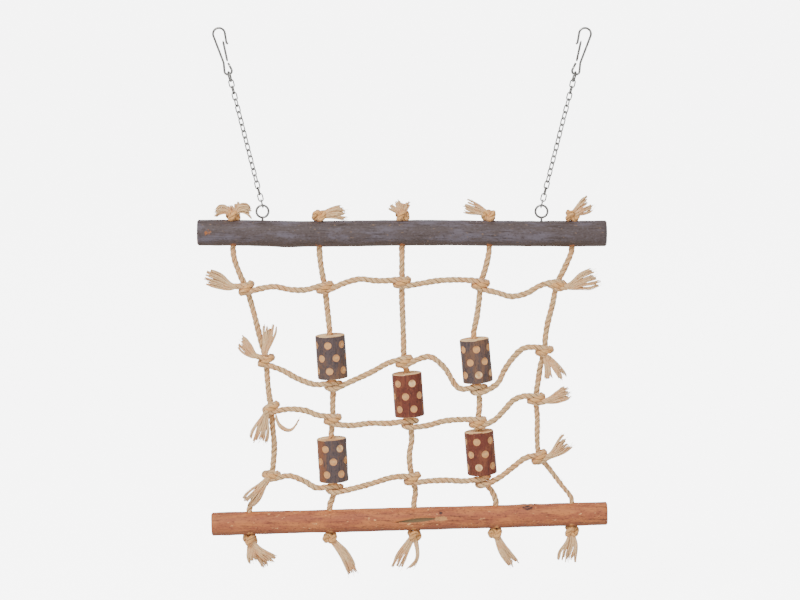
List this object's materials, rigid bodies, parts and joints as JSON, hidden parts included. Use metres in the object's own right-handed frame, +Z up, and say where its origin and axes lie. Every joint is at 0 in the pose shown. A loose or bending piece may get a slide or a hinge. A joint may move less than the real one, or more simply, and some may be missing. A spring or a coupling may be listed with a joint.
{
  "type": "hanging climbing net",
  "caption": "Hanging climbing net for small pets: bark sticks joined by a knotted jute net with drilled wooden blocks, on fine chains with sprung wire hooks.",
  "frame": {"origin": "midway between the two hook seats, at the height of the wire that they hang on", "axes": "+Z up, +X to the right as seen from the front, -Y to the front"},
  "size_m": [0.2721, 0.0205, 0.3665],
  "materials": {
    "plated_wire": "bright",
    "dark_bark": "rough bark",
    "red_bark": "smooth bark",
    "slate_wood": "bark with pale drilled spots",
    "russet_wood": "bark with pale drilled spots",
    "jute": "twisted, fuzzy"
  },
  "bodies": {
    "hooks": {"hook_left": "plated_wire", "hook_right": "plated_wire"},
    "tongue_left_body": {"tongue_left": "plated_wire"},
    "tongue_right_body": {"tongue_right": "plated_wire"},
    "hangers": {"ring_left": "plated_wire", "ring_right": "plated_wire", "chain_left": "plated_wire", "chain_right": "plated_wire"},
    "top_stick": {"top_bar": "dark_bark", "eye_left": "plated_wire", "eye_right": "plated_wire", "top_end_1": "jute", "top_end_2": "jute", "top_end_3": "jute", "top_end_4": "jute", "top_end_5": "jute"},
    "net": {"rope_1": "jute", "rope_2": "jute", "rope_3": "jute", "rope_4": "jute", "rope_5": "jute", "cross_1": "jute", "cross_2": "jute", "cross_3": "jute", "cross_4": "jute"},
    "bottom_stick": {"bottom_bar": "red_bark", "bottom_end_1": "jute", "bottom_end_2": "jute", "bottom_end_3": "jute", "bottom_end_4": "jute", "bottom_end_5": "jute"},
    "block_1_body": {"block_1": "slate_wood"},
    "block_2_body": {"block_2": "slate_wood"},
    "block_3_body": {"block_3": "russet_wood"},
    "block_4_body": {"block_4": "slate_wood"},
    "block_5_body": {"block_5": "russet_wood"}
  },
  "joints": [
    {"name": "tongue_left_press", "type": "hinge", "parent": "hooks", "child": "tongue_left_body", "pos_m": [-0.11447, 0, -0.02102], "axis": [0, -1, 0], "range_deg": [0, 13], "stiffness_Nm_per_rad": 0.03, "springref_deg": -5.73},
    {"name": "tongue_right_press", "type": "hinge", "parent": "hooks", "child": "tongue_right_body", "pos_m": [0.11447, 0, -0.02102], "axis": [0, 1, 0], "range_deg": [0, 13], "stiffness_Nm_per_rad": 0.03, "springref_deg": -5.73},
    {"name": "hanger_swing", "type": "hinge", "parent": "hooks", "child": "hangers", "pos_m": [0, 0, -0.02951], "axis": [1, 0, 0], "range_deg": [-40, 40]},
    {"name": "top_bar_swing", "type": "hinge", "parent": "hangers", "child": "top_stick", "pos_m": [0, 0, -0.116], "axis": [1, 0, 0], "range_deg": [-45, 45]},
    {"name": "net_swing", "type": "hinge", "parent": "top_stick", "child": "net", "pos_m": [0, 0, -0.1462], "axis": [1, 0, 0], "range_deg": [-45, 45]},
    {"name": "bottom_bar_swing", "type": "hinge", "parent": "net", "child": "bottom_stick", "pos_m": [0.005, 0, -0.3156], "axis": [0.9996, 0, 0.0279], "range_deg": [-45, 45]},
    {"name": "block_1_spin", "type": "hinge", "parent": "net", "child": "block_1_body", "pos_m": [-0.0455, 0, -0.236], "axis": [-0.0665, 0, 0.9978], "continuous": true},
    {"name": "block_2_spin", "type": "hinge", "parent": "net", "child": "block_2_body", "pos_m": [0.051, 0, -0.2385], "axis": [-0.0942, 0, 0.9956], "continuous": true},
    {"name": "block_3_spin", "type": "hinge", "parent": "net", "child": "block_3_body", "pos_m": [0.0055, 0, -0.2615], "axis": [-0.0702, 0, 0.9975], "continuous": true},
    {"name": "block_4_spin", "type": "hinge", "parent": "net", "child": "block_4_body", "pos_m": [-0.045, 0, -0.3055], "axis": [-0.0555, 0, 0.9985], "continuous": true},
    {"name": "block_5_spin", "type": "hinge", "parent": "net", "child": "block_5_body", "pos_m": [0.054, 0, -0.3005], "axis": [-0.0883, 0, 0.9961], "continuous": true}
  ]
}
